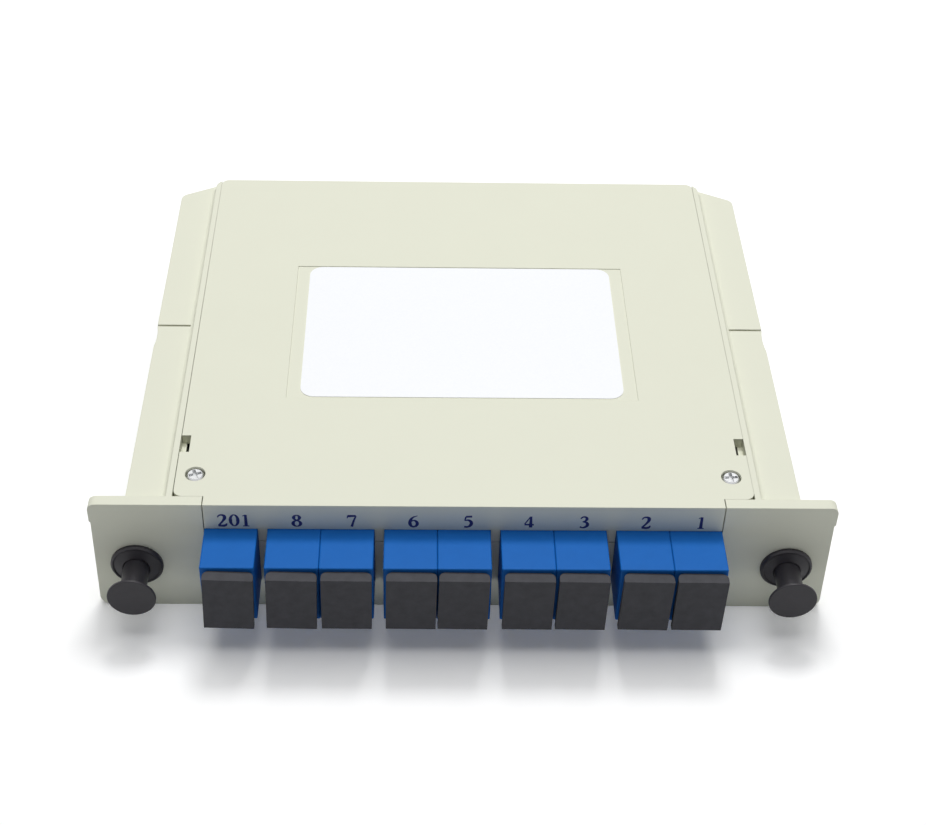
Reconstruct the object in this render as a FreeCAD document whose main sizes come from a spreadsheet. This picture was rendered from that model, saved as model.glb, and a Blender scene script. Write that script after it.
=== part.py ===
import FreeCAD, Part
import Sketcher
import math
import os

# A fibre splitter cassette for a rack: one input port and eight outputs in a front panel.
# The shell is two mouldings. The base is a tray with the front panel, its ears and the side
# wings; the cover drops into it and its comb lip closes the adapter slots from above.
# Frame: X across the panel, +Y into the rack, +Z up, in millimetres. The origin is on the
# underside, on the centre line, in the plane of the ears' back faces, which seat on the rack.

SIZES = (
    # alias, value, what it is
    ("panel_width", 130.2, "front panel across both ears"),
    ("panel_tall", 25.0, "front panel and whole cassette height"),
    ("panel_thick", 2.2, "front panel thickness"),
    ("ear_step", 0.25, "relief of the ear's edge below the top band"),
    ("ear_draft", 0.45, "draft of the ear's edge, from the band down to its foot"),
    ("ear_band", 4.1, "height of the ear's top band"),
    ("ear_top_round", 1.4, "corner radius at the ear's top"),
    ("ear_foot_round", 2.0, "corner radius at the ear's foot"),
    ("body_half", 51.75, "half width of the tray"),
    ("body_depth", 97.8, "tray depth behind the panel"),
    ("body_round", 2.6, "radius of the tray's rear corners"),
    ("wall", 1.95, "side and rear wall thickness"),
    ("floor_thick", 2.0, "tray floor thickness"),
    ("wing_half", 58.9, "half width across the wings"),
    ("wing_drop", 1.0, "wing surface below the cover"),
    ("wing_thick", 2.0, "wing thickness"),
    ("wing_lead_long", 4.7, "length of the wing's rear lead-in"),
    ("wing_lead_wide", 8.56, "width of the wing's rear lead-in"),
    ("corner_sink", 0.30, "lead-in's start ahead of the rear face"),
    ("wing_round", 2.0, "radius of the wing's rear corner"),
    ("wing_foot", 0.95, "concave fillet where the wing meets the tray"),
    ("wing_bury", 0.2, "how far the foot's section reaches into the wing and the wall"),
    ("slit_place", 48.6, "distance of the wing's slit behind the panel"),
    ("slit_wide", 0.5, "slit width"),
    ("slit_root", 52.5, "inner end of the slit from the centre"),
    ("scallop_deep", 0.3, "depth of the scallop in the wing's edge"),
    ("scallop_radius", 16.0, "radius of that scallop"),
    ("scallop_lead", 3.3, "scallop's centre ahead of the slit"),
    ("cover_thick", 2.0, "cover thickness"),
    ("cover_half", 50.65, "half width of the cover"),
    ("cover_front_round", 1.6, "radius of the cover's front corners"),
    ("cover_rear_round", 1.6, "radius of the cover's rear corners"),
    ("seam", 0.05, "gap between the mouldings and the pieces that they hold"),
    ("cover_gap", 0.02, "gap round the cover's plate where it sits close"),
    ("cover_ease_front", 0.11, "extra gap at the cover's front left corner"),
    ("cover_ease_rear", 0.04, "extra gap at the cover's rear right corner"),
    ("lip_gap", 0.17, "gap at each end of the cover's lip"),
    ("lip_half", 45.4, "half width of the cover's front lip"),
    ("parting", 16.3, "height of the parting line between the ports"),
    ("parting_gap", 0.16, "gap on that line"),
    ("recess_half", 32.6, "half width of the label's recess"),
    ("recess_front", 26.2, "front edge of the recess behind the panel"),
    ("recess_long", 40.8, "length of the recess"),
    ("recess_deep", 0.14, "depth of the recess"),
    ("label_wide", 60.2, "label width"),
    ("label_long", 40.1, "label length"),
    ("label_thick", 0.12, "label thickness"),
    ("label_round", 2.6, "label corner radius"),
    ("label_inset", 0.2, "label's gap to the rear edge of the recess"),
    ("window_inner", 48.9, "inner edge of the cover's side windows"),
    ("window_front", 11.35, "front edge of those windows"),
    ("window_long", 4.35, "length of those windows"),
    ("screw_out", 47.2, "screw centre from the middle"),
    ("screw_back", 5.65, "screw centre behind the panel"),
    ("screw_head_radius", 1.6, "screw head radius"),
    ("screw_head_tall", 1.1, "screw head height"),
    ("screw_shank_radius", 1.0, "screw shank radius"),
    ("screw_long", 8.5, "screw length below the head"),
    ("screw_cross_long", 2.3, "length of the cross recess"),
    ("screw_cross_wide", 0.6, "width of the cross recess"),
    ("screw_cross_deep", 0.6, "depth of the cross recess"),
    ("screw_crown", 0.35, "height of the rounded crown of the head"),
    ("screw_point", 1.0, "length of the screw's point"),
    ("screw_sunk", 0.05, "head below the cover's surface"),
    ("counterbore_radius", 1.80, "counterbore radius in the cover"),
    ("boss_half", 1.75, "half width of the screw boss"),
    ("boss_nose", 1.7, "radius of the screw boss's nose"),
    ("screw_play", 0.15, "play round the screw in the cover"),
    ("adapter_wide", 9.3, "adapter width"),
    ("adapter_tall", 12.8, "adapter height"),
    ("adapter_pitch", 9.33, "adapter pitch inside a pair"),
    ("adapter_foot", 6.5, "underside of the adapters"),
    ("adapter_reach", 11.6, "adapter front face ahead of the ears' back face"),
    ("adapter_tail", 15.4, "adapter rear face behind it"),
    ("group_gap", 1.67, "panel web between two groups of adapters"),
    ("mouth_wide", 7.5, "adapter mouth width"),
    ("mouth_tall", 9.1, "adapter mouth height"),
    ("key_wide", 2.4, "key slot width"),
    ("key_deep", 0.8, "key slot depth"),
    ("key_stop", 1.0, "how far the key slot ends before the mouth"),
    ("web_front", 1.0, "front of the adapter's middle web"),
    ("web_thick", 1.8, "thickness of that web"),
    ("flange_tall", 19.8, "adapter flange height"),
    ("flange_thick", 2.0, "adapter flange thickness"),
    ("rib_thick", 1.2, "thickness of the ribs that hold the adapters"),
    ("rib_back", 3.0, "rear ribs' start ahead of the adapters' ends"),
    ("rib_short", 0.3, "end of the cover's ribs short of the lip's end"),
    ("holder_radius", 2.2, "outer radius of the sleeve holder"),
    ("holder_long", 12.2, "length of the sleeve holder"),
    ("sleeve_radius", 1.6, "alignment sleeve outer radius"),
    ("sleeve_bore", 1.27, "alignment sleeve bore radius"),
    ("sleeve_long", 11.4, "alignment sleeve length"),
    ("sleeve_slit", 0.35, "slit along the sleeve"),
    ("adapter_round", 0.25, "rounding of the adapter's long edges and front rim"),
    ("cap_wide", 8.70, "dust cap width"),
    ("cap_tall", 12.0, "dust cap height"),
    ("cap_thick", 2.2, "dust cap grip thickness"),
    ("cap_round", 1.2, "radius at the back of the grip"),
    ("plug_wide", 7.00, "dust cap plug width"),
    ("plug_tall", 8.60, "dust cap plug height"),
    ("plug_long", 5.2, "dust cap plug length"),
    ("plug_wall", 0.80, "dust cap plug wall"),
    ("ferrule_radius", 1.25, "connector ferrule radius"),
    ("housing_front", 8.2, "front of the inner connector's housing"),
    ("housing_wide", 7.3, "inner connector housing width"),
    ("housing_tall", 8.9, "inner connector housing height"),
    ("housing_long", 16.8, "inner connector housing length"),
    ("housing_neck", 1.0, "ferrule and boot's overlap with the housing"),
    ("ferrule_lead", 0.2, "chamfer at the ferrule's tip"),
    ("boot_long", 9.0, "connector boot length"),
    ("boot_radius", 1.9, "connector boot radius at its root"),
    ("boot_tip", 0.8, "connector boot radius at its tip"),
    ("latch_out", 57.75, "latch centre from the middle"),
    ("latch_up", 10.50, "latch centre above the underside"),
    ("latch_radius", 3.2, "latch barrel radius"),
    ("latch_flange_radius", 4.65, "latch flange radius"),
    ("latch_flange_thick", 0.80, "thickness of the latch flange at its rim"),
    ("latch_dome", 1.3, "thickness of the flange at its middle"),
    ("latch_bevel", 0.3, "bevel of the flange's rim"),
    ("latch_bead_wide", 0.2, "width of the bead round the flange's face"),
    ("latch_bead_tall", 0.15, "height of that bead above the face's edge"),
    ("latch_barrel_long", 6.0, "latch barrel behind the ear"),
    ("latch_tip_long", 2.0, "tapered tip of the legs"),
    ("latch_tip_radius", 2.65, "radius at the tip of the legs"),
    ("latch_mouth_radius", 2.35, "bore at the latch's mouth"),
    ("latch_mouth_flare", 0.1, "flare at the latch's mouth"),
    ("latch_shelf", 0.3, "end of the mouth ahead of the ear's face"),
    ("latch_chamber_radius", 2.65, "bore between the legs"),
    ("latch_throat_radius", 1.7, "narrow bore at the legs' tips"),
    ("latch_throat_long", 0.8, "length of that narrow bore"),
    ("leg_slot", 0.70, "slot between the legs"),
    ("leg_root", 0.8, "start of the slots behind the ear"),
    ("knob_radius", 4.25, "plunger knob radius"),
    ("knob_front", 10.65, "knob face ahead of the ears' back face, pulled out"),
    ("knob_rim", 0.45, "thickness of the knob's rim"),
    ("knob_bevel", 0.12, "bevel of the knob's face"),
    ("knob_flare", 1.80, "length of the flare behind the knob"),
    ("plunger_radius", 2.30, "plunger stem radius"),
    ("collar_radius", 2.58, "collar that keeps the plunger in"),
    ("collar_long", 0.8, "length of that collar"),
    ("collar_play", 0.05, "gap between the collar and the shelf that stops it"),
    ("pin_radius", 1.6, "plunger pin radius"),
    ("pin_end", 3.0, "end of the pin behind the ear, pulled out"),
    ("pin_bevel", 0.4, "bevel at the end of the pin"),
    ("module_long", 40.0, "splitter module length"),
    ("module_wide", 7.0, "splitter module width"),
    ("module_tall", 4.0, "splitter module height"),
    ("module_back", 91.0, "splitter module centre line behind the panel"),
    ("module_right", 10.5, "right end of the splitter module"),
    ("module_wall", 0.4, "splitter module tube wall"),
    ("end_plug_long", 4.0, "length of the module's end plugs"),
    ("chip_long", 22.0, "waveguide chip length"),
    ("chip_wide", 3.6, "waveguide chip width"),
    ("chip_tall", 2.2, "waveguide chip height"),
    ("cradle_wall", 1.0, "thickness of the cradle's walls"),
    ("cradle_long", 4.0, "length of each cradle wall"),
    ("cradle_low", 1.0, "top of the cradle below the top of the module"),
    ("fibre_radius", 0.45, "radius of the jacketed fibre"),
    ("fibre_bend", 12.0, "bend radius of the output fibres"),
    ("input_bend", 10.0, "bend radius of the input fibre"),
    ("fibre_gap", 1.0, "spacing of the fibres where they enter the module"),
    ("fibre_run", 9.0, "straight run behind the boots"),
    ("fibre_step", 0.3, "extra run for each further fibre"),
    ("fibre_pitch", 1.3, "spacing of the fibres down the right side"),
    ("fibre_first", 0.7, "first column's distance from the bend's start"),
    ("fibre_turn", 21.5, "start of the turn towards the module"),
    ("overcut", 1.0, "reach of a cut past the faces that it opens"),
)
PORTS = ("201", "8", "7", "6", "5", "4", "3", "2", "1")
SIDES = (("left", -1), ("right", 1))
# From left to right, the group that each port sits in: a single adapter and then four pairs.
PORT_GROUPS = (0, 1, 1, 2, 2, 3, 3, 4, 4)
# How each dust cap happens to sit in its port: millimetres to the right, degrees clockwise.
CAP_SEATS = {"201": (0.05, 2.0), "8": (-0.10, 1.6), "7": (0.03, 0.5), "6": (0.16, 0.7),
             "5": (-0.13, 0.9), "4": (0.10, 0.6), "3": (0.10, 1.0), "2": (0.12, 1.3),
             "1": (0.16, 0.6)}
# How far each screw's cross happens to be turned, and the latches' leg slots, in degrees.
SCREW_TURNS = {"left": 20, "right": 5}
SLOT_TURN = 45
# The outputs enter the module four across and two high; these ports' fibres run straight back.
ROWS = 4
LAYERS = 2
STRAIGHT_BACK = ("201", "2", "1")
ALONG_Y = (0, 1, 0)
UPWARDS = (0, 0, 1)

doc = FreeCAD.newDocument("splitter_cassette")
sheet = doc.addObject("Spreadsheet::Sheet", "sizes")
for row, (alias, value, note) in enumerate(SIZES, 1):
    sheet.set(f"A{row}", note)
    sheet.set(f"B{row}", str(value))
    sheet.setAlias(f"B{row}", alias)
doc.recompute()


def size(expression):
    """The number that an expression of sheet aliases gives."""
    found = sheet.evalExpression(expression)
    return float(getattr(found, "Value", found))


def bound(expression):
    """The same expression as another object refers to it: each alias through the sheet."""
    for alias in sorted((entry[0] for entry in SIZES), key=len, reverse=True):
        expression = expression.replace(alias, "\0" + alias[::-1] + "\1")
    for alias in (entry[0] for entry in SIZES):
        expression = expression.replace("\0" + alias[::-1] + "\1", "sizes." + alias)
    return expression


# ---------------------------------------------------------------- sketch helpers

def new_body(name, x="0", y="0", z="0", turn=0, about=UPWARDS):
    """A PartDesign body named for its piece, placed by three expressions and turned in place."""
    body = doc.addObject("PartDesign::Body", name)
    body.Label = name
    body.Placement.Rotation = FreeCAD.Rotation(FreeCAD.Vector(*about), turn)
    for axis, expression in zip("xyz", (x, y, z)):
        body.setExpression(f"Placement.Base.{axis}", bound(expression))
    return body


def new_sketch(body, plane, name, offset="0"):
    """A sketch on one of the body's own planes, moved along the plane's normal."""
    sketch = body.newObject("Sketcher::SketchObject", f"{body.Name}_{name}")
    origin_plane = next(item for item in body.Origin.OriginFeatures if item.Role == plane)
    sketch.AttachmentSupport = [(origin_plane, "")]
    sketch.MapMode = "FlatFace"
    sketch.setExpression("AttachmentOffset.Base.z", bound(offset))
    return sketch


def bind(sketch, kind, places, expression):
    """Add one driving constraint and bind it to the sheet."""
    index = sketch.addConstraint(Sketcher.Constraint(kind, *places, size(expression)))
    sketch.setExpression(f"Constraints[{index}]", bound(expression))


def outline(sketch, points):
    """A closed polygon whose corners sit at pairs of expressions."""
    corners = [FreeCAD.Vector(size(x), size(y), 0) for x, y in points]
    first = sketch.GeometryCount
    count = len(corners)
    for here in range(count):
        sketch.addGeometry(Part.LineSegment(corners[here], corners[(here + 1) % count]), False)
    for here, (x, y) in enumerate(points):
        after = first + (here + 1) % count
        sketch.addConstraint(Sketcher.Constraint("Coincident", first + here, 2, after, 1))
        bind(sketch, "DistanceX", (-1, 1, first + here, 1), x)
        bind(sketch, "DistanceY", (-1, 1, first + here, 1), y)
    return sketch


def rectangle(sketch, left, low, right, high):
    """A rectangle between two corners given as expressions."""
    return outline(sketch, ((left, low), (right, low), (right, high), (left, high)))


def circle(sketch, x, y, radius):
    """A circle whose centre and radius are expressions."""
    centre = FreeCAD.Vector(size(x), size(y), 0)
    ring = Part.Circle(centre, FreeCAD.Vector(0, 0, 1), size(radius))
    index = sketch.addGeometry(ring, False)
    bind(sketch, "DistanceX", (-1, 1, index, 3), x)
    bind(sketch, "DistanceY", (-1, 1, index, 3), y)
    bind(sketch, "Radius", (index,), radius)
    return sketch


# ---------------------------------------------------------------- feature helpers

def pad(body, sketch, length, reverse=False):
    """Pad a sketch along its normal, or against it."""
    feature = body.newObject("PartDesign::Pad", sketch.Name + "_pad")
    feature.Profile = sketch
    feature.setExpression("Length", bound(length))
    feature.Reversed = reverse
    doc.recompute()
    return feature


def pocket(body, sketch, length, reverse=False):
    """Cut a sketch against its normal, or along it, and make sure that it cut something."""
    before = body.Shape.Volume
    feature = body.newObject("PartDesign::Pocket", sketch.Name + "_pocket")
    feature.Profile = sketch
    feature.setExpression("Length", bound(length))
    feature.Reversed = reverse
    doc.recompute()
    if body.Shape.Volume > before - 1e-4:
        raise ValueError(feature.Name + " cuts nothing")
    return feature


def revolve(body, sketch):
    """Turn a half section about the sketch's upright axis."""
    feature = body.newObject("PartDesign::Revolution", sketch.Name + "_turned")
    feature.Profile = sketch
    feature.ReferenceAxis = (sketch, ["V_Axis"])
    feature.Angle = 360
    doc.recompute()
    return feature


def round_edges(body, name, radius, wanted):
    """Fillet the edges of the body's tip whose middle point passes a test."""
    tip = body.Tip
    names = [f"Edge{index}" for index, edge in enumerate(tip.Shape.Edges, 1)
             if wanted(edge, edge.CenterOfMass)]
    if not names:
        raise ValueError(name + " finds no edge")
    feature = body.newObject("PartDesign::Fillet", f"{body.Name}_{name}")
    feature.Base = (tip, names)
    feature.setExpression("Radius", bound(radius))
    doc.recompute()
    return feature


def along(edge, axis):
    """Whether a straight edge runs along X, Y or Z (0, 1 or 2)."""
    if not isinstance(edge.Curve, Part.Line):
        return False
    return abs(abs(edge.Curve.Direction[axis]) - 1) < 1e-6


def near(value, expression):
    """Whether a coordinate is where an expression puts it."""
    return abs(value - size(expression)) < 0.02


def port_place(index):
    """The expression for one port's centre across the panel."""
    middle = len(PORTS) // 2
    group = PORT_GROUPS[index] - PORT_GROUPS[middle]
    return f"adapter_pitch * {index - middle} + group_gap * {group}"


def group_edges():
    """The left and right expressions of each group of touching adapters."""
    for group in sorted(set(PORT_GROUPS)):
        members = [index for index, own in enumerate(PORT_GROUPS) if own == group]
        yield (f"{port_place(members[0])} - adapter_wide / 2 - seam",
               f"{port_place(members[-1])} + adapter_wide / 2 + seam")


# ---------------------------------------------------------------- the two mouldings

def make_base():
    """The tray with its wings, front panel, adapter slots, ribs and screw bosses."""
    body = new_body("base")
    pad(body, rectangle(new_sketch(body, "XY_Plane", "tray"),
                        "-body_half", "0", "body_half", "body_depth"), "panel_tall")
    round_edges(body, "rear_corners", "body_round",
                lambda edge, mid: along(edge, 2) and near(mid.y, "body_depth"))
    add_wings(body)
    add_panel(body)
    add_cavity(body)
    add_panel_slots(body)
    add_ribs(body)
    add_bosses(body)
    add_fibre_holders(body)
    return body


def add_wings(body):
    """Side wings with a tapered lead-in, a cove at the foot, a scallop and a slit."""
    level = "panel_tall - wing_drop - wing_thick"
    plan = new_sketch(body, "XY_Plane", "wings", level)
    for _, side in SIDES:
        outline(plan, ((f"{side} * (body_half - body_round)", "0"),
                       (f"{side} * wing_half", "0"),
                       (f"{side} * wing_half", "body_depth - wing_lead_long"),
                       (f"{side} * (wing_half - wing_lead_wide)", "body_depth - corner_sink"),
                       (f"{side} * (body_half - body_round)", "body_depth - corner_sink")))
    pad(body, plan, "wing_thick")
    round_edges(body, "wing_corners", "wing_round",
                lambda edge, mid: along(edge, 2) and near(abs(mid.x), "wing_half")
                and near(mid.y, "body_depth - wing_lead_long"))
    coves = new_sketch(body, "XZ_Plane", "wing_feet")
    for _, side in SIDES:
        cove(coves, side)
    pad(body, coves, "body_depth - body_round", reverse=True)
    cuts = new_sketch(body, "XY_Plane", "slits", "panel_tall")
    for _, side in SIDES:
        rectangle(cuts, f"{side} * slit_root", "slit_place - slit_wide / 2",
                  f"{side} * (wing_half + overcut)", "slit_place + slit_wide / 2")
    pocket(body, cuts, "wing_drop + wing_thick + overcut")
    bays = new_sketch(body, "XY_Plane", "scallops", "panel_tall")
    for _, side in SIDES:
        circle(bays, f"{side} * (wing_half + scallop_radius - scallop_deep)",
               "slit_place - scallop_lead", "scallop_radius")
    pocket(body, bays, "wing_drop + wing_thick + overcut")


def cove(sketch, side):
    """A concave quarter round between the tray's wall and the wing's upper face."""
    wall_x = f"{side} * body_half"
    level = "panel_tall - wing_drop"
    points = ((f"{wall_x} + {side} * wing_foot", level),
              (f"{wall_x} + {side} * wing_foot", f"{level} - wing_bury"),
              (f"{wall_x} - {side} * wing_bury", f"{level} - wing_bury"),
              (f"{wall_x} - {side} * wing_bury", f"{level} + wing_foot"),
              (wall_x, f"{level} + wing_foot"))
    corners = [FreeCAD.Vector(size(x), size(z), 0) for x, z in points]
    first = sketch.GeometryCount
    for before, after in zip(corners, corners[1:]):
        sketch.addGeometry(Part.LineSegment(before, after), False)
    for here, (x, z) in enumerate(points[:-1]):
        bind(sketch, "DistanceX", (-1, 1, first + here, 1), x)
        bind(sketch, "DistanceY", (-1, 1, first + here, 1), z)
        if here:
            sketch.addConstraint(Sketcher.Constraint("Coincident", first + here - 1, 2,
                                                     first + here, 1))
    last = first + len(points) - 2
    bind(sketch, "DistanceX", (-1, 1, last, 2), points[-1][0])
    bind(sketch, "DistanceY", (-1, 1, last, 2), points[-1][1])
    radius = size("wing_foot")
    centre = FreeCAD.Vector(corners[0].x, corners[-1].y, 0)
    turn = (math.pi, 1.5 * math.pi) if side > 0 else (1.5 * math.pi, 2 * math.pi)
    arc = sketch.addGeometry(Part.ArcOfCircle(Part.Circle(centre, FreeCAD.Vector(0, 0, 1), radius),
                                              *turn), False)
    ends = (2, 1) if side > 0 else (1, 2)
    sketch.addConstraint(Sketcher.Constraint("Coincident", arc, ends[0], first, 1))
    sketch.addConstraint(Sketcher.Constraint("Coincident", arc, ends[1], last, 2))
    bind(sketch, "Radius", (arc,), "wing_foot")


def add_panel(body):
    """The front panel with both ears, stepped and rounded at its ends."""
    face = new_sketch(body, "XZ_Plane", "panel")
    outline(face, (("-panel_width / 2", "panel_tall"),
                   ("-panel_width / 2", "panel_tall - ear_band"),
                   ("-panel_width / 2 + ear_step", "panel_tall - ear_band - ear_step"),
                   ("-panel_width / 2 + ear_step - ear_draft", "0"),
                   ("panel_width / 2 - ear_step + ear_draft", "0"),
                   ("panel_width / 2 - ear_step", "panel_tall - ear_band - ear_step"),
                   ("panel_width / 2", "panel_tall - ear_band"),
                   ("panel_width / 2", "panel_tall")))
    pad(body, face, "panel_thick")
    round_edges(body, "ear_tops", "ear_top_round",
                lambda edge, mid: along(edge, 1) and near(abs(mid.x), "panel_width / 2")
                and near(mid.z, "panel_tall"))
    round_edges(body, "ear_feet", "ear_foot_round",
                lambda edge, mid: along(edge, 1) and near(mid.z, "0")
                and near(abs(mid.x), "panel_width / 2 - ear_step + ear_draft"))


def add_cavity(body):
    """The inside of the tray, and the seat that takes the cover flush with the rim."""
    seat = rectangle(new_sketch(body, "XY_Plane", "seat", "panel_tall - cover_thick"),
                     "-cover_half - cover_gap", "0", "cover_half + cover_gap",
                     "body_depth + overcut")
    pocket(body, seat, "cover_thick + overcut", reverse=True)
    inside = rectangle(new_sketch(body, "XY_Plane", "inside", "panel_tall - cover_thick"),
                       "-body_half + wall", "0", "body_half - wall", "body_depth - wall")
    pocket(body, inside, "panel_tall - cover_thick - floor_thick")


def add_panel_slots(body):
    """The openings in the panel: the lip's notch, one slot per group and the latch holes."""
    notch = rectangle(new_sketch(body, "XZ_Plane", "lip_notch"),
                      "-lip_half", "parting", "lip_half", "panel_tall + overcut")
    pocket(body, notch, "panel_thick", reverse=True)
    slots = new_sketch(body, "XZ_Plane", "slots")
    for left, right in group_edges():
        rectangle(slots, left, "adapter_foot - seam", right, "parting")
    pocket(body, slots, "panel_thick", reverse=True)
    holes = new_sketch(body, "XZ_Plane", "latch_holes")
    for _, side in SIDES:
        circle(holes, f"{side} * latch_out", "latch_up", "latch_radius + seam")
    pocket(body, holes, "panel_thick", reverse=True)


def add_ribs(body):
    """Two ribs across the floor that hold the adapters behind their flanges."""
    ribs = new_sketch(body, "XY_Plane", "ribs", "floor_thick")
    for start in ("flange_thick + 2 * seam", "adapter_tail - rib_back"):
        rectangle(ribs, "-lip_half", start, "lip_half", f"{start} + rib_thick")
    pad(body, ribs, "adapter_foot - seam - floor_thick")


def add_bosses(body):
    """Screw bosses that grow out of the side walls, each with its pilot hole."""
    plan = new_sketch(body, "XY_Plane", "bosses", "floor_thick")
    for _, side in SIDES:
        rectangle(plan, f"{side} * (screw_out - boss_half)", "screw_back - boss_half",
                  f"{side} * (body_half - wall)", "screw_back + boss_half")
    pad(body, plan, "panel_tall - cover_thick - floor_thick")
    round_edges(body, "boss_noses", "boss_nose",
                lambda edge, mid: along(edge, 2) and near(abs(mid.x), "screw_out - boss_half")
                and near(abs(mid.y - size("screw_back")), "boss_half"))
    holes = new_sketch(body, "XY_Plane", "pilot_holes", "panel_tall - cover_thick")
    for _, side in SIDES:
        circle(holes, f"{side} * screw_out", "screw_back", "screw_shank_radius + seam")
    pocket(body, holes, "screw_long")


def add_fibre_holders(body):
    """A cradle for the splitter module: two pairs of short walls at its quarter points."""
    cradle = new_sketch(body, "XY_Plane", "cradle", "floor_thick")
    for quarters in (1, 3):
        middle = f"module_right - {quarters} * module_long / 4"
        for side in (-1, 1):
            inner = f"module_back + {side} * (module_wide / 2 + seam)"
            rectangle(cradle, f"{middle} - cradle_long / 2", inner,
                      f"{middle} + cradle_long / 2", f"{inner} + {side} * cradle_wall")
    pad(body, cradle, "module_tall - cradle_low")


def make_cover():
    """The cover: a plate with a label recess, side windows, screw seats and a comb lip."""
    body = new_body("cover")
    plate = outline(new_sketch(body, "XY_Plane", "plate", "panel_tall - cover_thick"), (
        ("-cover_half + cover_ease_front", "cover_gap"), ("cover_half", "cover_gap"),
        ("cover_half - cover_ease_rear", "body_depth"), ("-cover_half", "body_depth")))
    pad(body, plate, "cover_thick")
    round_edges(body, "front_corners", "cover_front_round",
                lambda edge, mid: along(edge, 2) and near(mid.y, "cover_gap"))
    round_edges(body, "rear_corners", "cover_rear_round",
                lambda edge, mid: along(edge, 2) and near(mid.y, "body_depth"))
    lip = rectangle(new_sketch(body, "XZ_Plane", "lip", "-seam"), "-lip_half + lip_gap",
                    "adapter_foot + adapter_tall + seam", "lip_half - lip_gap", "panel_tall")
    pad(body, lip, "panel_thick + seam")
    teeth = new_sketch(body, "XZ_Plane", "teeth")
    edges = list(group_edges())
    for (_, left), (right, _) in zip(edges, edges[1:]):
        rectangle(teeth, left, "parting + parting_gap", right, "adapter_foot + adapter_tall + overcut")
    pad(body, teeth, "panel_thick")
    cut_cover(body)
    ribs = new_sketch(body, "XY_Plane", "ribs", "panel_tall - cover_thick")
    for start in ("flange_thick + 2 * seam", "adapter_tail - rib_back"):
        rectangle(ribs, "-lip_half + rib_short", start, "lip_half - rib_short",
                  f"{start} + rib_thick")
    pad(body, ribs, "panel_tall - cover_thick - adapter_foot - adapter_tall - seam", reverse=True)
    return body


def cut_cover(body):
    """The recess for the label, the two windows and the two stepped screw holes."""
    recess = rectangle(new_sketch(body, "XY_Plane", "recess", "panel_tall"), "-recess_half",
                       "recess_front", "recess_half", "recess_front + recess_long")
    pocket(body, recess, "recess_deep")
    windows = new_sketch(body, "XY_Plane", "windows", "panel_tall")
    for _, side in SIDES:
        rectangle(windows, f"{side} * window_inner", "window_front",
                  f"{side} * (cover_half + overcut)", "window_front + window_long")
    pocket(body, windows, "cover_thick")
    for name, radius, deep in (("screw_seats", "counterbore_radius", "screw_head_tall + screw_sunk"),
                               ("screw_holes", "screw_shank_radius + screw_play", "cover_thick")):
        holes = new_sketch(body, "XY_Plane", name, "panel_tall")
        for _, side in SIDES:
            circle(holes, f"{side} * screw_out", "screw_back", radius)
        pocket(body, holes, deep)


def make_label():
    """The paper label in the cover's recess."""
    body = new_body("label", y="recess_front + recess_long - label_inset - label_long",
                    z="panel_tall - recess_deep")
    sheet_plan = rectangle(new_sketch(body, "XY_Plane", "plan"),
                           "-label_wide / 2", "0", "label_wide / 2", "label_long")
    pad(body, sheet_plan, "label_thick")
    round_edges(body, "corners", "label_round", lambda edge, mid: along(edge, 2))
    return body


def make_screws():
    """Two cross-head screws, joined as one group of separate solids."""
    bodies = []
    for name, side in SIDES:
        body = new_body(f"screw_{name}", x=f"{side} * screw_out", y="screw_back",
                        z="panel_tall - screw_sunk - screw_head_tall", turn=SCREW_TURNS[name])
        section = outline(new_sketch(body, "XZ_Plane", "section"), (
            ("0", "-screw_long"), ("screw_shank_radius / 2", "-screw_long"),
            ("screw_shank_radius", "screw_point - screw_long"), ("screw_shank_radius", "0"),
            ("screw_head_radius", "0"), ("screw_head_radius", "screw_head_tall - screw_crown"),
            ("screw_head_radius - screw_crown", "screw_head_tall"), ("0", "screw_head_tall")))
        revolve(body, section)
        for turn, (wide, tall) in enumerate((("screw_cross_long", "screw_cross_wide"),
                                             ("screw_cross_wide", "screw_cross_long"))):
            slot = rectangle(new_sketch(body, "XY_Plane", f"cross_{turn}", "screw_head_tall"),
                             f"-{wide} / 2", f"-{tall} / 2", f"{wide} / 2", f"{tall} / 2")
            pocket(body, slot, "screw_cross_deep")
        bodies.append(body)
    group = doc.addObject("Part::Compound", "screws")
    group.Label = "screws"
    group.Links = bodies
    doc.recompute()
    return group


# ---------------------------------------------------------------- ports

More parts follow.
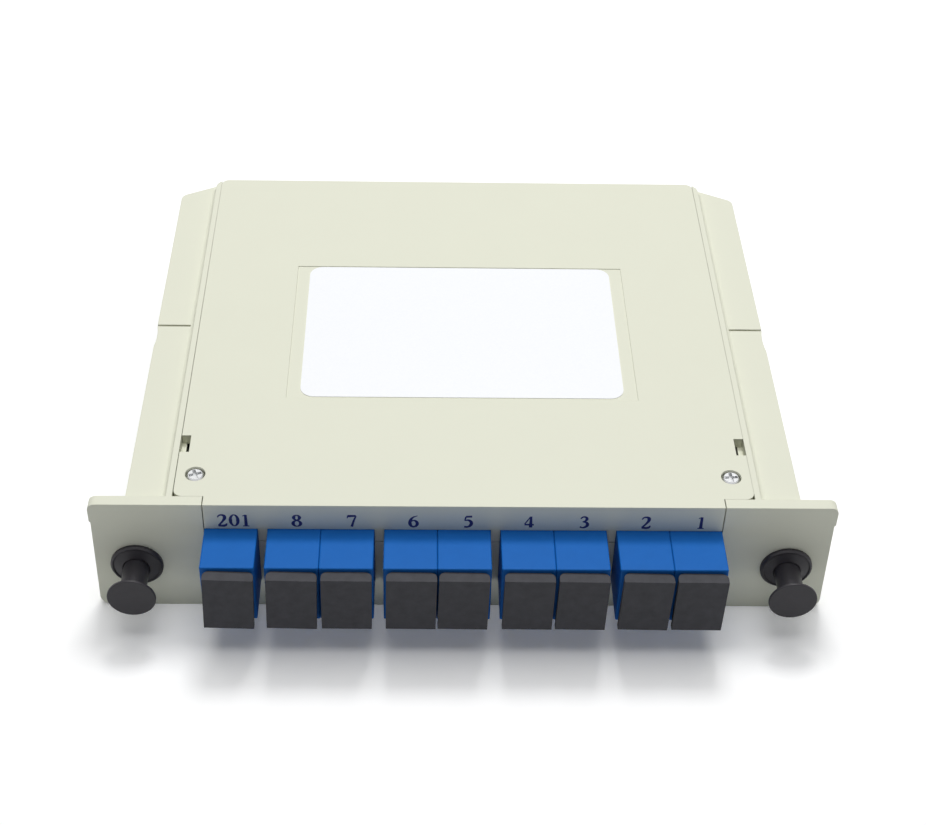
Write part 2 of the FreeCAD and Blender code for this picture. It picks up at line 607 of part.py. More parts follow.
def make_adapter(port, index):
    """A simplex adapter: a square tube with a flange, a middle web and a sleeve holder."""
    body = new_body(f"adapter_{port}", x=port_place(index), z="adapter_foot + adapter_tall / 2")
    shell = rectangle(new_sketch(body, "XZ_Plane", "shell", "adapter_reach"),
                      "-adapter_wide / 2", "-adapter_tall / 2", "adapter_wide / 2", "adapter_tall / 2")
    pad(body, shell, "adapter_reach + adapter_tail", reverse=True)
    round_edges(body, "rim", "adapter_round",
                lambda edge, mid: along(edge, 1) or near(mid.y, "-adapter_reach"))
    flange = rectangle(new_sketch(body, "XZ_Plane", "flange", "-seam"),
                       "-adapter_wide / 2", "-flange_tall / 2", "adapter_wide / 2", "flange_tall / 2")
    pad(body, flange, "flange_thick", reverse=True)
    for name, start, deep, inward in (
            ("front", "adapter_reach", "adapter_reach + web_front", False),
            ("rear", "-adapter_tail", "adapter_tail - web_front - web_thick", True)):
        mouth = rectangle(new_sketch(body, "XZ_Plane", f"{name}_mouth", start),
                          "-mouth_wide / 2", "-mouth_tall / 2", "mouth_wide / 2", "mouth_tall / 2")
        pocket(body, mouth, deep, reverse=inward)
        key = rectangle(new_sketch(body, "XZ_Plane", f"{name}_key", start),
                        "-key_wide / 2", "0", "key_wide / 2", "mouth_tall / 2 + key_deep")
        pocket(body, key, f"{deep} - key_stop", reverse=inward)
    middle = "web_front + web_thick / 2"
    holder = circle(new_sketch(body, "XZ_Plane", "holder", f"holder_long / 2 - {middle}"),
                    "0", "0", "holder_radius")
    pad(body, holder, "holder_long", reverse=True)
    bore = circle(new_sketch(body, "XZ_Plane", "bore", f"holder_long / 2 - {middle}"),
                  "0", "0", "sleeve_radius + seam / 2")
    pocket(body, bore, "holder_long")
    return body


def make_sleeve(port, index):
    """The slit sleeve that lines up two ferrules inside an adapter."""
    body = new_body(f"sleeve_{port}", x=port_place(index), y="web_front + web_thick / 2",
                    z="adapter_foot + adapter_tall / 2")
    ring = new_sketch(body, "XZ_Plane", "ring", "sleeve_long / 2")
    circle(ring, "0", "0", "sleeve_radius")
    circle(ring, "0", "0", "sleeve_bore")
    pad(body, ring, "sleeve_long", reverse=True)
    slit = rectangle(new_sketch(body, "XZ_Plane", "slit", "sleeve_long / 2"),
                     "-sleeve_slit / 2", "0", "sleeve_slit / 2", "sleeve_radius + sleeve_slit")
    pocket(body, slit, "sleeve_long")
    return body


def make_connector(port, index):
    """The inner connector: ferrule, housing and boot, plugged in from the back."""
    body = new_body(f"connector_{port}", x=port_place(index), z="adapter_foot + adapter_tall / 2")
    face = "web_front + web_thick / 2 + seam"
    root = "housing_front + housing_long"
    section = outline(new_sketch(body, "XY_Plane", "section"), (
        ("0", face), ("ferrule_radius - ferrule_lead", face),
        ("ferrule_radius", f"{face} + ferrule_lead"),
        ("ferrule_radius", "housing_front + housing_neck"),
        ("boot_radius", "housing_front + housing_neck"),
        ("boot_radius", root), ("boot_tip", f"{root} + boot_long"), ("0", f"{root} + boot_long")))
    revolve(body, section)
    housing = rectangle(new_sketch(body, "XZ_Plane", "housing", "-housing_front"),
                        "-housing_wide / 2", "-housing_tall / 2",
                        "housing_wide / 2", "housing_tall / 2")
    pad(body, housing, "housing_long", reverse=True)
    return body


def make_dust_cap(port, index):
    """A dust cap: a flat grip and a hollow plug, pushed into the adapter a little askew."""
    shift, turn = CAP_SEATS[port]
    body = new_body(f"dust_cap_{port}", x=f"{port_place(index)} + {shift}",
                    y="-adapter_reach - seam / 2", z="adapter_foot + cap_tall / 2",
                    turn=turn, about=ALONG_Y)
    grip = rectangle(new_sketch(body, "XZ_Plane", "grip"),
                     "-cap_wide / 2", "-cap_tall / 2", "cap_wide / 2", "cap_tall / 2")
    pad(body, grip, "cap_thick")
    round_edges(body, "grip_back", "cap_round",
                lambda edge, mid: along(edge, 2) and near(mid.y, "0"))
    raised = "(adapter_tall - cap_tall) / 2"
    plug = rectangle(new_sketch(body, "XZ_Plane", "plug"), "-plug_wide / 2",
                     f"{raised} - plug_tall / 2", "plug_wide / 2", f"{raised} + plug_tall / 2")
    pad(body, plug, "plug_long", reverse=True)
    hollow = rectangle(new_sketch(body, "XZ_Plane", "hollow", "-plug_long"),
                       "-plug_wide / 2 + plug_wall", f"{raised} - plug_tall / 2 + plug_wall",
                       "plug_wide / 2 - plug_wall", f"{raised} + plug_tall / 2 - plug_wall")
    pocket(body, hollow, "plug_long", reverse=True)
    return body


# ---------------------------------------------------------------- latches

def make_grommet(name, side):
    """The latch's grommet: a domed flange on the ear and four legs behind it."""
    body = new_body(f"latch_grommet_{name}", x=f"{side} * latch_out", z="latch_up",
                    turn=SLOT_TURN, about=ALONG_Y)
    front = "-panel_thick - latch_dome"
    rim = "-panel_thick - latch_flange_thick"
    bead = "latch_flange_radius - latch_bevel"
    shelf = "-panel_thick - latch_shelf"
    throat = "latch_barrel_long - latch_throat_long"
    tip = "latch_barrel_long + latch_tip_long"
    section = outline(new_sketch(body, "XY_Plane", "section"), (
        ("latch_mouth_radius", f"{front} + latch_mouth_flare"),
        ("latch_mouth_radius + latch_mouth_flare", front),
        (f"{bead} - latch_bead_wide", f"{rim} + latch_bead_tall"),
        (f"{bead} - latch_bead_wide", rim), (bead, rim),
        ("latch_flange_radius", f"{rim} + latch_bevel"),
        ("latch_flange_radius", "-panel_thick"), ("latch_radius", "-panel_thick"),
        ("latch_radius", "latch_barrel_long"), ("latch_tip_radius", tip),
        ("latch_throat_radius", tip), ("latch_throat_radius", throat),
        ("latch_chamber_radius", throat), ("latch_chamber_radius", shelf),
        ("latch_mouth_radius", shelf)))
    revolve(body, section)
    across = ("-leg_slot / 2", "leg_slot / 2")
    length = ("leg_root", f"{tip} + overcut")
    for plane, wide, tall in (("XY_Plane", across, length), ("YZ_Plane", length, across)):
        slot = rectangle(new_sketch(body, plane, f"slot_{plane}", "-latch_radius - overcut"),
                         wide[0], tall[0], wide[1], tall[1])
        pocket(body, slot, "2 * latch_radius + 2 * overcut", reverse=True)
    return body


def make_plunger(name, side):
    """The latch's plunger, pulled out: a flared knob, a stem, a collar and a pin."""
    body = new_body(f"latch_plunger_{name}", x=f"{side} * latch_out", z="latch_up")
    face = "-knob_front"
    rim = "-knob_front + knob_rim"
    collar = "-panel_thick - latch_shelf + collar_play"
    section = outline(new_sketch(body, "XY_Plane", "section"), (
        ("0", face), ("knob_radius - knob_bevel", face), ("knob_radius", f"{face} + knob_bevel"),
        ("knob_radius", rim), ("plunger_radius", rim), ("plunger_radius", collar),
        ("collar_radius", collar), ("collar_radius", f"{collar} + collar_long"),
        ("pin_radius", f"{collar} + collar_long"), ("pin_radius", "pin_end - pin_bevel"),
        ("pin_radius - pin_bevel", "pin_end"), ("0", "pin_end")))
    revolve(body, section)
    round_edges(body, "flare", "knob_flare",
                lambda edge, mid: isinstance(edge.Curve, Part.Circle)
                and near(edge.Curve.Radius, "plunger_radius") and near(mid.y, rim))
    return body


# ---------------------------------------------------------------- splitter module and fibres

def make_module():
    """The splitter module: a steel tube, its two end plugs and the waveguide chip."""
    middle = "module_right - module_long / 2"
    up = "floor_thick + module_tall / 2"
    parts = []
    tube = new_body("splitter_tube", x=f"{middle}", y="module_back", z=up)
    ring = new_sketch(tube, "YZ_Plane", "ring", "-module_long / 2")
    rectangle(ring, "-module_wide / 2", "-module_tall / 2", "module_wide / 2", "module_tall / 2")
    rectangle(ring, "-module_wide / 2 + module_wall", "-module_tall / 2 + module_wall",
              "module_wide / 2 - module_wall", "module_tall / 2 - module_wall")
    pad(tube, ring, "module_long")
    parts.append(tube)
    for name, place, long, wide, tall in (
            ("splitter_plug_in", f"{middle} - module_long / 2 + end_plug_long / 2",
             "end_plug_long", "module_wide - 2 * module_wall", "module_tall - 2 * module_wall"),
            ("splitter_plug_out", f"{middle} + module_long / 2 - end_plug_long / 2",
             "end_plug_long", "module_wide - 2 * module_wall", "module_tall - 2 * module_wall"),
            ("splitter_chip", middle, "chip_long", "chip_wide", "chip_tall")):
        piece = new_body(name, x=place, y="module_back", z=up)
        section = rectangle(new_sketch(piece, "YZ_Plane", "section", f"-({long}) / 2"),
                            f"-({wide}) / 2", f"-({tall}) / 2", f"({wide}) / 2", f"({tall}) / 2")
        pad(piece, section, long)
        parts.append(piece)
    return parts


def rounded_path(points, radius):
    """A wire of straight runs joined by tangent arcs of one radius."""
    edges = []
    start = points[0]
    for before, corner, after in zip(points, points[1:], points[2:]):
        back = (before - corner).normalize()
        ahead = (after - corner).normalize()
        half = back.getAngle(ahead) / 2
        reach = radius / math.tan(half)
        first = corner + back * reach
        last = corner + ahead * reach
        middle = corner + (back + ahead).normalize() * (radius / math.sin(half) - radius)
        if (first - start).dot(back) > -1e-6:
            raise ValueError("a straight run is too short for its bends")
        edges.append(Part.LineSegment(start, first).toShape())
        edges.append(Part.Arc(first, middle, last).toShape())
        start = last
    edges.append(Part.LineSegment(start, points[-1]).toShape())
    return Part.Wire(edges)


def make_fibre(port, points, bend):
    """A jacketed fibre along a path, with its volume checked against section times length."""
    path = rounded_path(points, bend)
    radius = size("fibre_radius")
    section = Part.Wire(Part.Circle(points[0], points[1] - points[0], radius).toShape())
    shape = path.makePipeShell([section], True, False)
    expected = math.pi * radius ** 2 * path.Length
    if abs(shape.Volume / expected - 1) > 0.01:
        raise ValueError(f"fibre {port} is not a clean tube")
    feature = doc.addObject("Part::Feature", f"fibre_{port}")
    feature.Label = f"fibre_{port}"
    feature.Shape = shape
    feature.Placement = FreeCAD.Placement()
    print(f"fibre {port}: radius {radius} mm, length {path.Length:.1f} mm, bends {bend:.1f} mm")
    return feature


def make_fibres():
    """The input fibre down the left wall, and eight outputs nested round the right."""
    high = size("adapter_foot + adapter_tall / 2")
    low = size("floor_thick + module_tall / 2")
    tail = size("housing_front + housing_long + boot_long")
    right = size("module_right")
    back = size("module_back")
    gap = size("fibre_gap")
    parts = []
    for index, port in enumerate(PORTS):
        x = size(port_place(index))
        order = index - 1
        bend = size("fibre_bend")
        track = right + bend + size("fibre_first") + size("fibre_pitch") * order
        row = back + gap * (order // LAYERS - (ROWS - 1) / 2)
        level = low + gap * (order % LAYERS - (LAYERS - 1) / 2)
        end = right
        if port in STRAIGHT_BACK:
            track = x
        if index == 0:
            bend = size("input_bend")
            row = back
            level = low
            end = right - size("module_long")
        down = tail + size("fibre_run") + size("fibre_step") * order
        turn = back - size("fibre_turn") - size("fibre_pitch") * order
        points = (FreeCAD.Vector(x, tail, high), FreeCAD.Vector(x, down, high),
                  FreeCAD.Vector(track, turn, level), FreeCAD.Vector(track, row, level),
                  FreeCAD.Vector(end, row, level))
        parts.append(make_fibre(port, points, bend))
    return parts


# ---------------------------------------------------------------- build, check, write

subparts = [make_base(), make_cover(), make_label(), make_screws()]
for number, port_name in enumerate(PORTS):
    subparts.append(make_adapter(port_name, number))
    subparts.append(make_sleeve(port_name, number))
    subparts.append(make_connector(port_name, number))
    subparts.append(make_dust_cap(port_name, number))
for side_name, side_sign in SIDES:
    subparts.append(make_grommet(side_name, side_sign))
    subparts.append(make_plunger(side_name, side_sign))
subparts += make_module()
subparts += make_fibres()
doc.recompute()

for item in doc.Objects:
    if {"Invalid", "Error"} & set(item.State):
        raise ValueError(f"{item.Name} failed: {item.State}")

os.makedirs("parts", exist_ok=True)
for item in subparts:
    if item.Shape.isNull() or not item.Shape.isValid():
        raise ValueError(f"{item.Label} has no valid shape")
    item.Shape.exportStep(f"parts/{item.Label}.step")
    print(f"{item.Label}: {item.Shape.Volume:.2f} mm3, {len(item.Shape.Solids)} solid")
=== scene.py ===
# %% [markdown]
# # A fibre splitter cassette, dressed for the camera
#
# The cassette is a flat moulded box that slides into a rack. One fibre comes in at the left
# port and eight go out, and each port wears a dust cap. The solid pieces arrive ready made,
# in metres, so this lesson is about what they are made of, what is printed on them, and
# light. We load them first.

# %% Load the solid pieces
import math

import bpy
from mathutils import Matrix, Vector


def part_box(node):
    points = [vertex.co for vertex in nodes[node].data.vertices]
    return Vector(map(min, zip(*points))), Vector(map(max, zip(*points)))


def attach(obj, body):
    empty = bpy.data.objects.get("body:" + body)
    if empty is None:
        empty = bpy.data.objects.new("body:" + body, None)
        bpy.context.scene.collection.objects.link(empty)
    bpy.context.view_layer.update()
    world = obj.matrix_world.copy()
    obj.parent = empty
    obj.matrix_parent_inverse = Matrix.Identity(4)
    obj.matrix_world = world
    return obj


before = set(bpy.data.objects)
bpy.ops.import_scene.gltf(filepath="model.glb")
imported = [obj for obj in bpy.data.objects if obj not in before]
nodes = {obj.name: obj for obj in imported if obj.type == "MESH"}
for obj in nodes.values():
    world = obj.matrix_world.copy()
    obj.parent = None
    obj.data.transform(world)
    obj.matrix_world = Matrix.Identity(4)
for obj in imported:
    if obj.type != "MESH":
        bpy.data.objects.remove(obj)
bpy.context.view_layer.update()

MM = 0.001
PORTS = ("201", "8", "7", "6", "5", "4", "3", "2", "1")

# %% [markdown]
# ## A few small helpers
#
# Colours are written as the hex values that a screen shows, and shaders want linear light,
# so one function turns the first into the second. Another adds a node with its settings and
# its links in one go, which keeps each material short enough to read. Two more start a
# material with its shader joined to its output, and lay a noise of a stated size in
# millimetres over a piece. The last one tells the rays that show a surface, straight or in
# a reflection, from the rays that only carry its light.

# %% Colour and node helpers
COLOUR_A, COLOUR_B, MIXED_COLOUR = 6, 7, 2  # the Mix node's sockets for colours


def linear(hex_colour):
    """Screen hex to linear red, green, blue and alpha."""
    parts = [int(hex_colour[place:place + 2], 16) / 255 for place in (1, 3, 5)]
    return tuple(part / 12.92 if part <= 0.04045 else ((part + 0.055) / 1.055) ** 2.4
                 for part in parts) + (1.0,)


def add_node(tree, kind, settings=None, inputs=None):
    """Add a node, set its properties, then set or link each of its inputs."""
    node = tree.nodes.new(kind)
    for name, value in (settings or {}).items():
        setattr(node, name, value)
    for name, value in (inputs or {}).items():
        if isinstance(value, bpy.types.NodeSocket):
            tree.links.new(value, node.inputs[name])
        else:
            node.inputs[name].default_value = value
    return node


def new_material(name, inputs):
    """A material with one Principled shader, whose plain values sit on its sockets."""
    material = bpy.data.materials.new(name)
    material.use_nodes = True
    tree = material.node_tree
    tree.nodes.clear()
    shader = add_node(tree, "ShaderNodeBsdfPrincipled", inputs=inputs)
    add_node(tree, "ShaderNodeOutputMaterial", inputs={"Surface": shader.outputs["BSDF"]})
    return material, tree, shader


def noise(tree, size_mm, detail=2.0, roughness=0.5):
    """Noise in the piece's own coordinates, with patches of a given size."""
    place = add_node(tree, "ShaderNodeTexCoord").outputs["Object"]
    return add_node(tree, "ShaderNodeTexNoise", inputs={
        "Vector": place, "Scale": 1 / (size_mm * MM), "Detail": detail,
        "Roughness": roughness}).outputs["Fac"]


def blend(tree, factor, low, high):
    """A colour between two others."""
    return add_node(tree, "ShaderNodeMix", {"data_type": "RGBA"}, {
        "Factor": factor, COLOUR_A: low, COLOUR_B: high}).outputs[MIXED_COLOUR]


def larger(tree, first, second):
    """The larger of two values."""
    return add_node(tree, "ShaderNodeMath", {"operation": "MAXIMUM"}, {
        0: first, 1: second}).outputs[0]


def showing_rays(tree):
    """The light path node, and 1 for camera, glossy and transmission rays."""
    rays = add_node(tree, "ShaderNodeLightPath")
    direct = larger(tree, rays.outputs["Is Camera Ray"], rays.outputs["Is Glossy Ray"])
    return rays, larger(tree, direct, rays.outputs["Is Transmission Ray"])


print("middle grey in linear light:", [round(part, 3) for part in linear("#808080")])

# %% [markdown]
# ## Moulded plastic
#
# Every plastic piece here came out of a steel mould with a fine spark-eroded skin. That skin
# scatters light, so highlights are broad and weak, and corners are never quite sharp. The
# real grain is about 0.05 mm, too fine to show from this distance, so it is drawn at about
# 0.3 mm and kept shallow. A slow drift in the colour is what the eye sees where the melt
# cooled unevenly: some 10 mm across in the casing, and 2 mm in the soft caps and the latches,
# whose skin also holds a little dust. The Bevel node rounds the corners by what a mould
# leaves, 0.1 to 0.2 mm, without touching the meshes.

# %% One recipe for moulded plastic
SHEEN_SWING = 0.06
GRAIN_RELIEF = 0.02 * MM


def moulded_plastic(name, base, rough, drift, grain_mm, grain_depth, corner_mm,
                    specular=0.5, drift_mm=10):
    """Plastic with a drifting colour, a fine skin and softened corners."""
    material, tree, shader = new_material(name, {"IOR": 1.5, "Specular IOR Level": specular})
    clouds = noise(tree, drift_mm, detail=3.0, roughness=0.55)
    low = [part * (1 - drift) for part in linear(base)[:3]] + [1.0]
    high = [min(1.0, part * (1 + drift)) for part in linear(base)[:3]] + [1.0]
    tree.links.new(blend(tree, clouds, low, high), shader.inputs["Base Color"])
    grain = noise(tree, grain_mm)
    matt = add_node(tree, "ShaderNodeMapRange", inputs={
        "Value": grain, "To Min": rough - SHEEN_SWING, "To Max": rough + SHEEN_SWING})
    tree.links.new(matt.outputs["Result"], shader.inputs["Roughness"])
    corner = add_node(tree, "ShaderNodeBevel", {"samples": 6}, {"Radius": corner_mm * MM})
    skin = add_node(tree, "ShaderNodeBump", inputs={
        "Strength": grain_depth, "Distance": GRAIN_RELIEF,
        "Height": grain, "Normal": corner.outputs["Normal"]})
    tree.links.new(skin.outputs["Normal"], shader.inputs["Normal"])
    return material


cream_abs = moulded_plastic("moulded_abs_cream", "#E1E2D0", 0.50, 0.012, 0.30, 0.35, 0.15, 0.35)
blue_pbt = moulded_plastic("moulded_pbt_blue", "#1763B4", 0.48, 0.06, 0.28, 0.5, 0.12, 0.10, 3)
cap_plastic = moulded_plastic("moulded_cap_charcoal", "#434347", 0.60, 0.30, 0.30, 0.9, 0.12,
                              0.16, 2)
black_nylon = moulded_plastic("moulded_nylon_black", "#2D2B30", 0.38, 0.22, 0.35, 0.6, 0.15,
                              0.34, 2)
white_jacket = moulded_plastic("fibre_jacket_white", "#F0F0EC", 0.40, 0.01, 0.20, 0.2, 0.05)
print("five moulded plastics")

# %% [markdown]
# ## Paper, steel, zirconia and glass
#
# The label is coated paper: white, smooth, with a faint fibre in it. The screws are
# zinc-plated steel, bright and slightly uneven. The sleeves inside the ports are polished
# zirconia, and the splitter chip is silica glass. The last two hide inside the casing, and
# they still get their own finish.

# %% Label paper
label_paper, tree, shader = new_material("coated_paper_white", {"Roughness": 0.38, "IOR": 1.5})
fibres = noise(tree, 0.4, detail=4.0)
paper = blend(tree, fibres, linear("#F4F6F9"), linear("#FBFCFE"))
tree.links.new(paper, shader.inputs["Base Color"])
relief = add_node(tree, "ShaderNodeBump", inputs={
    "Strength": 0.15, "Distance": 0.01 * MM, "Height": fibres})
tree.links.new(relief.outputs["Normal"], shader.inputs["Normal"])
print(label_paper.name)

# %% Plated steel for the screws and the splitter's tube
plated_steel, tree, shader = new_material("zinc_plated_steel", {
    "Base Color": linear("#C9CACB"), "Metallic": 1.0})
pits = noise(tree, 0.25, detail=3.0)
uneven = add_node(tree, "ShaderNodeMapRange", inputs={
    "Value": pits, "To Min": 0.18, "To Max": 0.36})
tree.links.new(uneven.outputs["Result"], shader.inputs["Roughness"])
dents = add_node(tree, "ShaderNodeBump", inputs={
    "Strength": 0.3, "Distance": GRAIN_RELIEF, "Height": pits})
tree.links.new(dents.outputs["Normal"], shader.inputs["Normal"])
print(plated_steel.name)

# %% Zirconia and silica
zirconia, tree, shader = new_material("polished_zirconia", {"Roughness": 0.12, "IOR": 2.1})
milk = blend(tree, noise(tree, 2), linear("#EFECE4"), linear("#F6F4EE"))
tree.links.new(milk, shader.inputs["Base Color"])

silica, tree, shader = new_material("silica_chip", {
    "Base Color": linear("#E6EEF0"), "IOR": 1.46, "Transmission Weight": 0.85})
cut_face = add_node(tree, "ShaderNodeMapRange", inputs={
    "Value": noise(tree, 0.3), "To Min": 0.05, "To Max": 0.15})
tree.links.new(cut_face.outputs["Result"], shader.inputs["Roughness"])
print(zirconia.name, silica.name)

# %% [markdown]
# ## Give each solid piece its finish
#
# Each piece is one material, because each came out of one mould or off one machine. The
# pieces are already the right shape and in the right place, so a finish is all they need.

# %% Assign the materials
FINISHES = {
    "base": cream_abs, "cover": cream_abs, "label": label_paper, "screws": plated_steel,
    "adapter": blue_pbt, "connector": blue_pbt, "dust": cap_plastic, "sleeve": zirconia,
    "latch": black_nylon, "fibre": white_jacket, "splitter": plated_steel,
}
for name, node in nodes.items():
    finish = FINISHES[name.split("_")[0]]
    if name.startswith("splitter_plug"):
        finish = black_nylon
    if name == "splitter_chip":
        finish = silica
    node.data.materials.clear()
    node.data.materials.append(finish)
print("finished", len(nodes), "pieces")

# %% [markdown]
# ## Port numbers on the lip
#
# The numbers are pad printed in navy ink on the face of the cover's lip, one above each
# port, in an upright style with thick and thin strokes and small serifs. A font would have
# to come from a file, so each numeral is drawn as a pen draws it: a few strokes, each a
# curve whose points say where the pen is and how wide it presses. Heights and widths are in
# shares of the numeral's height, which keeps the shapes easy to change.

# %% Navy ink
navy_ink, tree, shader = new_material("pad_print_ink_navy", {"Roughness": 0.45, "IOR": 1.5})
ink = blend(tree, noise(tree, 0.5, detail=3.0), linear("#1B1B52"), linear("#2A2A6C"))
tree.links.new(ink, shader.inputs["Base Color"])
print(navy_ink.name)

# %% The strokes of each numeral: across, up, half the stroke's width
THICK, THIN = 0.085, 0.035
WEIGHT = 1.25  # the ink spreads the drawn strokes by a quarter


def bowl(across, up, wide, tall):
    """A closed oval stroke, thick at its sides and thin at its top and foot."""
    turns = [math.radians(step * 45) for step in range(8)]
    return [(across + wide * math.cos(turn), up + tall * math.sin(turn),
             THIN + (THICK - THIN) * math.cos(turn) ** 2) for turn in turns]


STROKES = {
    "0": [bowl(0.33, 0.50, 0.22, 0.455)],
    "1": [[(0.32, 0.96, 0.065), (0.32, 0.05, 0.080)],
          [(0.13, 0.86, 0.025), (0.32, 0.94, 0.045)],
          [(0.13, 0.03, 0.030), (0.32, 0.04, 0.040), (0.51, 0.03, 0.030)]],
    "2": [[(0.06, 0.74, 0.030), (0.13, 0.88, 0.045), (0.29, 0.94, 0.055),
           (0.45, 0.86, 0.080), (0.47, 0.70, 0.085), (0.34, 0.42, 0.055), (0.09, 0.09, 0.045)],
          [(0.07, 0.075, 0.070), (0.48, 0.075, 0.075), (0.59, 0.24, 0.030)]],
    "3": [[(0.08, 0.78, 0.035), (0.22, 0.93, 0.050), (0.40, 0.90, 0.065),
           (0.45, 0.74, 0.080), (0.32, 0.57, 0.045), (0.20, 0.53, 0.030)],
          [(0.22, 0.53, 0.030), (0.44, 0.47, 0.065), (0.51, 0.27, 0.085),
           (0.36, 0.08, 0.060), (0.18, 0.05, 0.040), (0.07, 0.12, 0.055)]],
    "4": [[(0.42, 0.95, 0.055), (0.42, 0.04, 0.085)],
          [(0.40, 0.94, 0.035), (0.06, 0.32, 0.035)],
          [(0.05, 0.27, 0.055), (0.61, 0.27, 0.055)]],
    "5": [[(0.17, 0.90, 0.065), (0.54, 0.92, 0.065)],
          [(0.17, 0.90, 0.040), (0.11, 0.58, 0.035)],
          [(0.11, 0.58, 0.030), (0.30, 0.62, 0.055), (0.48, 0.48, 0.080),
           (0.48, 0.24, 0.085), (0.29, 0.06, 0.050), (0.08, 0.07, 0.060)]],
    "6": [[(0.56, 0.96, 0.022), (0.30, 0.83, 0.050), (0.14, 0.56, 0.080),
           (0.12, 0.28, 0.085), (0.24, 0.07, 0.060), (0.40, 0.06, 0.050),
           (0.54, 0.24, 0.080), (0.51, 0.45, 0.075), (0.35, 0.57, 0.045), (0.17, 0.48, 0.030)]],
    "7": [[(0.08, 0.90, 0.080), (0.57, 0.92, 0.065)],
          [(0.09, 0.94, 0.040), (0.05, 0.72, 0.022)],
          [(0.57, 0.91, 0.040), (0.43, 0.50, 0.050), (0.31, 0.03, 0.065)]],
    "8": [bowl(0.32, 0.75, 0.17, 0.195), bowl(0.32, 0.27, 0.22, 0.23)],
}
OVALS = STROKES["0"] + STROKES["8"]
print(len(STROKES), "numerals from", sum(len(strokes) for strokes in STROKES.values()), "strokes")

# %% Draw a numeral and lay it on the lip
NUMBER_TALL = 2.92 * MM
NUMBER_STEP = 0.70 * NUMBER_TALL
NUMERAL_MIDDLE = 0.33 * NUMBER_TALL
NUMBER_FOOT = 19.94 * MM
INK_THICK = 0.03 * MM
INK_FLATTEN = INK_THICK / 2 / (WEIGHT * THICK * NUMBER_TALL)
NUMBER_CENTRES_MM = {"201": -39.95, "8": -29.1, "7": -19.55, "6": -8.85, "5": 0.7,
                     "4": 11.3, "3": 20.95, "2": 31.75, "1": 41.4}
lip_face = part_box("cover")[0].y


def pen_curve(number):
    """A curve with every stroke of a number, standing upright and centred on the origin."""
    curve = bpy.data.curves.new(f"port_number_{number}", "CURVE")
    curve.dimensions = "3D"
    curve.bevel_depth = 1.0
    curve.bevel_resolution = 2
    curve.resolution_u = 6
    curve.use_fill_caps = True
    for order, numeral in enumerate(number):
        shift = NUMBER_STEP * (order - (len(number) - 1) / 2) - NUMERAL_MIDDLE
        for stroke in STROKES[numeral]:
            spline = curve.splines.new("BEZIER")
            spline.bezier_points.add(len(stroke) - 1)
            spline.use_cyclic_u = stroke in OVALS
            for point, (across, up, half) in zip(spline.bezier_points, stroke):
                point.co = (shift + across * NUMBER_TALL, 0, up * NUMBER_TALL)
                point.radius = WEIGHT * half * NUMBER_TALL
                point.handle_left_type = point.handle_right_type = "AUTO"
    return curve


for port in PORTS:
    bpy.ops.object.select_all(action="DESELECT")
    number = bpy.data.objects.new(f"port_number_{port}", pen_curve(port))
    bpy.context.scene.collection.objects.link(number)
    number.select_set(True)
    bpy.context.view_layer.objects.active = number
    bpy.ops.object.convert(target="MESH")
    number = bpy.context.object
    number.data.transform(
        Matrix.Translation((NUMBER_CENTRES_MM[port] * MM, lip_face, NUMBER_FOOT))
        @ Matrix.Diagonal((1, INK_FLATTEN, 1, 1)))
    number.data.materials.append(navy_ink)
    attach(number, "housing")
print("numbers stand on the lip at y =", round(lip_face / MM, 2), "mm")

# %% [markdown]
# ## Floor and light
#
# The cassette lies on a plain white table. A lamp a little behind and above it gives the
# bright top, the shaded front panel and the narrow shadow that the lip throws on the blue
# ports, and a wide soft ceiling light opens the shadows. The floor shows white to the
# camera and to reflections, with a faint glow that carries it to full white, and a quieter
# grey to everything else, so that it doesn't light the front panel from below too strongly.

# %% The floor
FLOOR_GLOW = 0.10
FLOOR_SIDE = 6.0
FLOOR_LEVEL = -0.02 * MM
WHITE = (1, 1, 1, 1)
QUIET_GREY = (0.90, 0.91, 0.93, 1)
bpy.ops.object.select_all(action="DESELECT")
bpy.ops.mesh.primitive_plane_add(size=FLOOR_SIDE, location=(0, 0, FLOOR_LEVEL))
floor = bpy.context.object
floor.name = "table_top"
white_floor, tree, shader = new_material("plain_white_table", {"Roughness": 0.9})
rays, showing = showing_rays(tree)
tree.links.new(blend(tree, showing, QUIET_GREY, WHITE), shader.inputs["Base Color"])
glow = add_node(tree, "ShaderNodeMath", {"operation": "MULTIPLY"}, {
    0: rays.outputs["Is Camera Ray"], 1: FLOOR_GLOW})
tree.links.new(glow.outputs[0], shader.inputs["Emission Strength"])
shader.inputs["Emission Color"].default_value = WHITE
floor.data.materials.append(white_floor)
print("floor at", floor.location.z)

# %% The room's light
ROOM_COLOUR, ROOM_STRENGTH = (0.93, 0.96, 1.0, 1), 0.12
world = bpy.data.worlds.new("white_room")
bpy.context.scene.world = world
world.use_nodes = True
tree = world.node_tree
tree.nodes.clear()
_, showing = showing_rays(tree)
room = add_node(tree, "ShaderNodeBackground", inputs={
    "Color": ROOM_COLOUR, "Strength": ROOM_STRENGTH})
white = add_node(tree, "ShaderNodeBackground", inputs={"Color": WHITE, "Strength": 1.0})
both = add_node(tree, "ShaderNodeMixShader", inputs={
    0: showing, 1: room.outputs[0], 2: white.outputs[0]})
add_node(tree, "ShaderNodeOutputWorld", inputs={"Surface": both.outputs[0]})


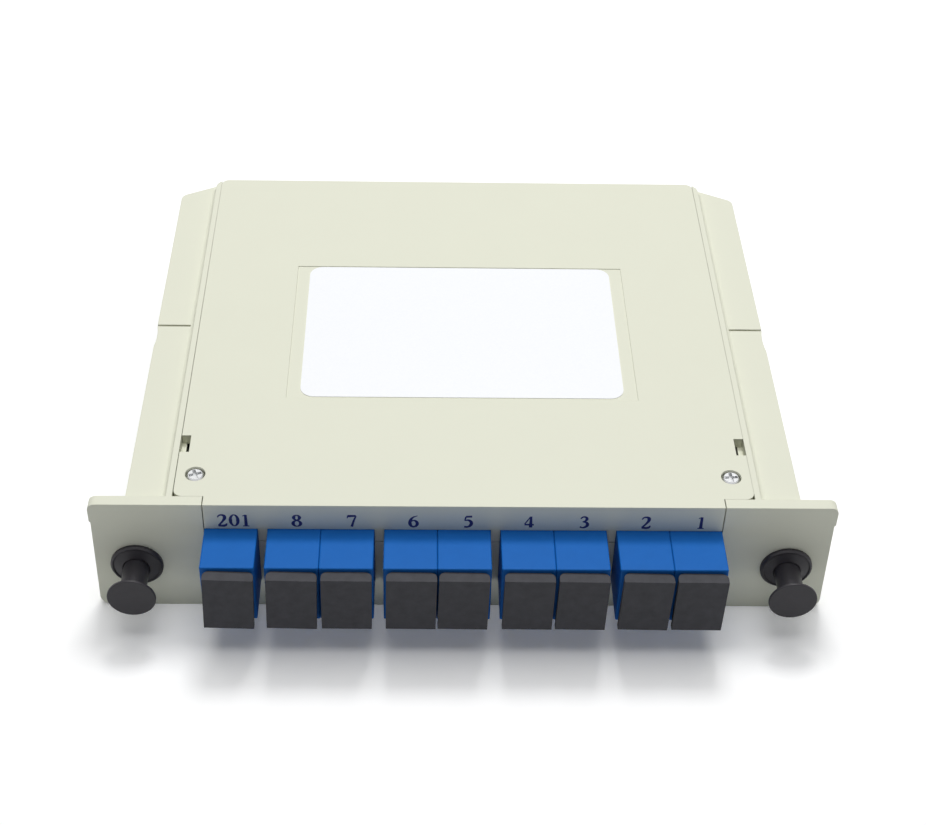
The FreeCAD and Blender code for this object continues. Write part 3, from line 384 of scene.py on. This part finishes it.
LAMP_AIM = Vector((0, 0.03, 0.02))


def lamp(name, place, size, power):
    """A square area lamp that faces the cassette."""
    data = bpy.data.lights.new(name, "AREA")
    data.shape = "SQUARE"
    data.size = size
    data.energy = power
    holder = bpy.data.objects.new(name, data)
    bpy.context.scene.collection.objects.link(holder)
    holder.location = place
    holder.rotation_euler = (LAMP_AIM - Vector(place)).to_track_quat("-Z", "Y").to_euler()


lamp("lamp_behind", (0.05, 0.50, 1.00), 0.26, 4.0)
lamp("ceiling", (0.0, 0.16, 1.30), 1.10, 11.5)
print("two lamps and a pale room")

# %% [markdown]
# ## The camera
#
# A camera's view is fixed by where it stands, how far it looks down and to the side, how far
# it leans, and its lens. The lens is given as the distance in picture widths that makes the
# right perspective, turned into millimetres for a 36 mm wide film.

# %% Camera
CAMERA_PLACE = Vector((-8.084, -215.546, 233.886)) * MM
LOOK_DOWN, LOOK_RIGHT, LEAN = (math.radians(angle) for angle in (41.255, 1.950, 1.694))
LENS_WIDTHS = 1.8662
FILM_WIDTH_MM = 36.0
NEAREST_SEEN = 0.01

ahead = Vector((math.sin(LOOK_RIGHT) * math.cos(LOOK_DOWN),
                math.cos(LOOK_RIGHT) * math.cos(LOOK_DOWN), -math.sin(LOOK_DOWN)))
level = Vector((math.cos(LOOK_RIGHT), -math.sin(LOOK_RIGHT), 0))
upright = level.cross(ahead)
side = math.cos(LEAN) * level + math.sin(LEAN) * upright
top = -math.sin(LEAN) * level + math.cos(LEAN) * upright
camera_data = bpy.data.cameras.new("camera")
camera_data.sensor_width = FILM_WIDTH_MM
camera_data.lens = FILM_WIDTH_MM * LENS_WIDTHS
camera_data.clip_start = NEAREST_SEEN
camera = bpy.data.objects.new("camera", camera_data)
bpy.context.scene.collection.objects.link(camera)
camera.matrix_world = Matrix.Translation(CAMERA_PLACE) @ Matrix(
    (side, top, -ahead)).transposed().to_4x4()
bpy.context.scene.camera = camera
bpy.context.scene.view_settings.view_transform = "Standard"
print("lens", round(camera_data.lens, 2), "mm")
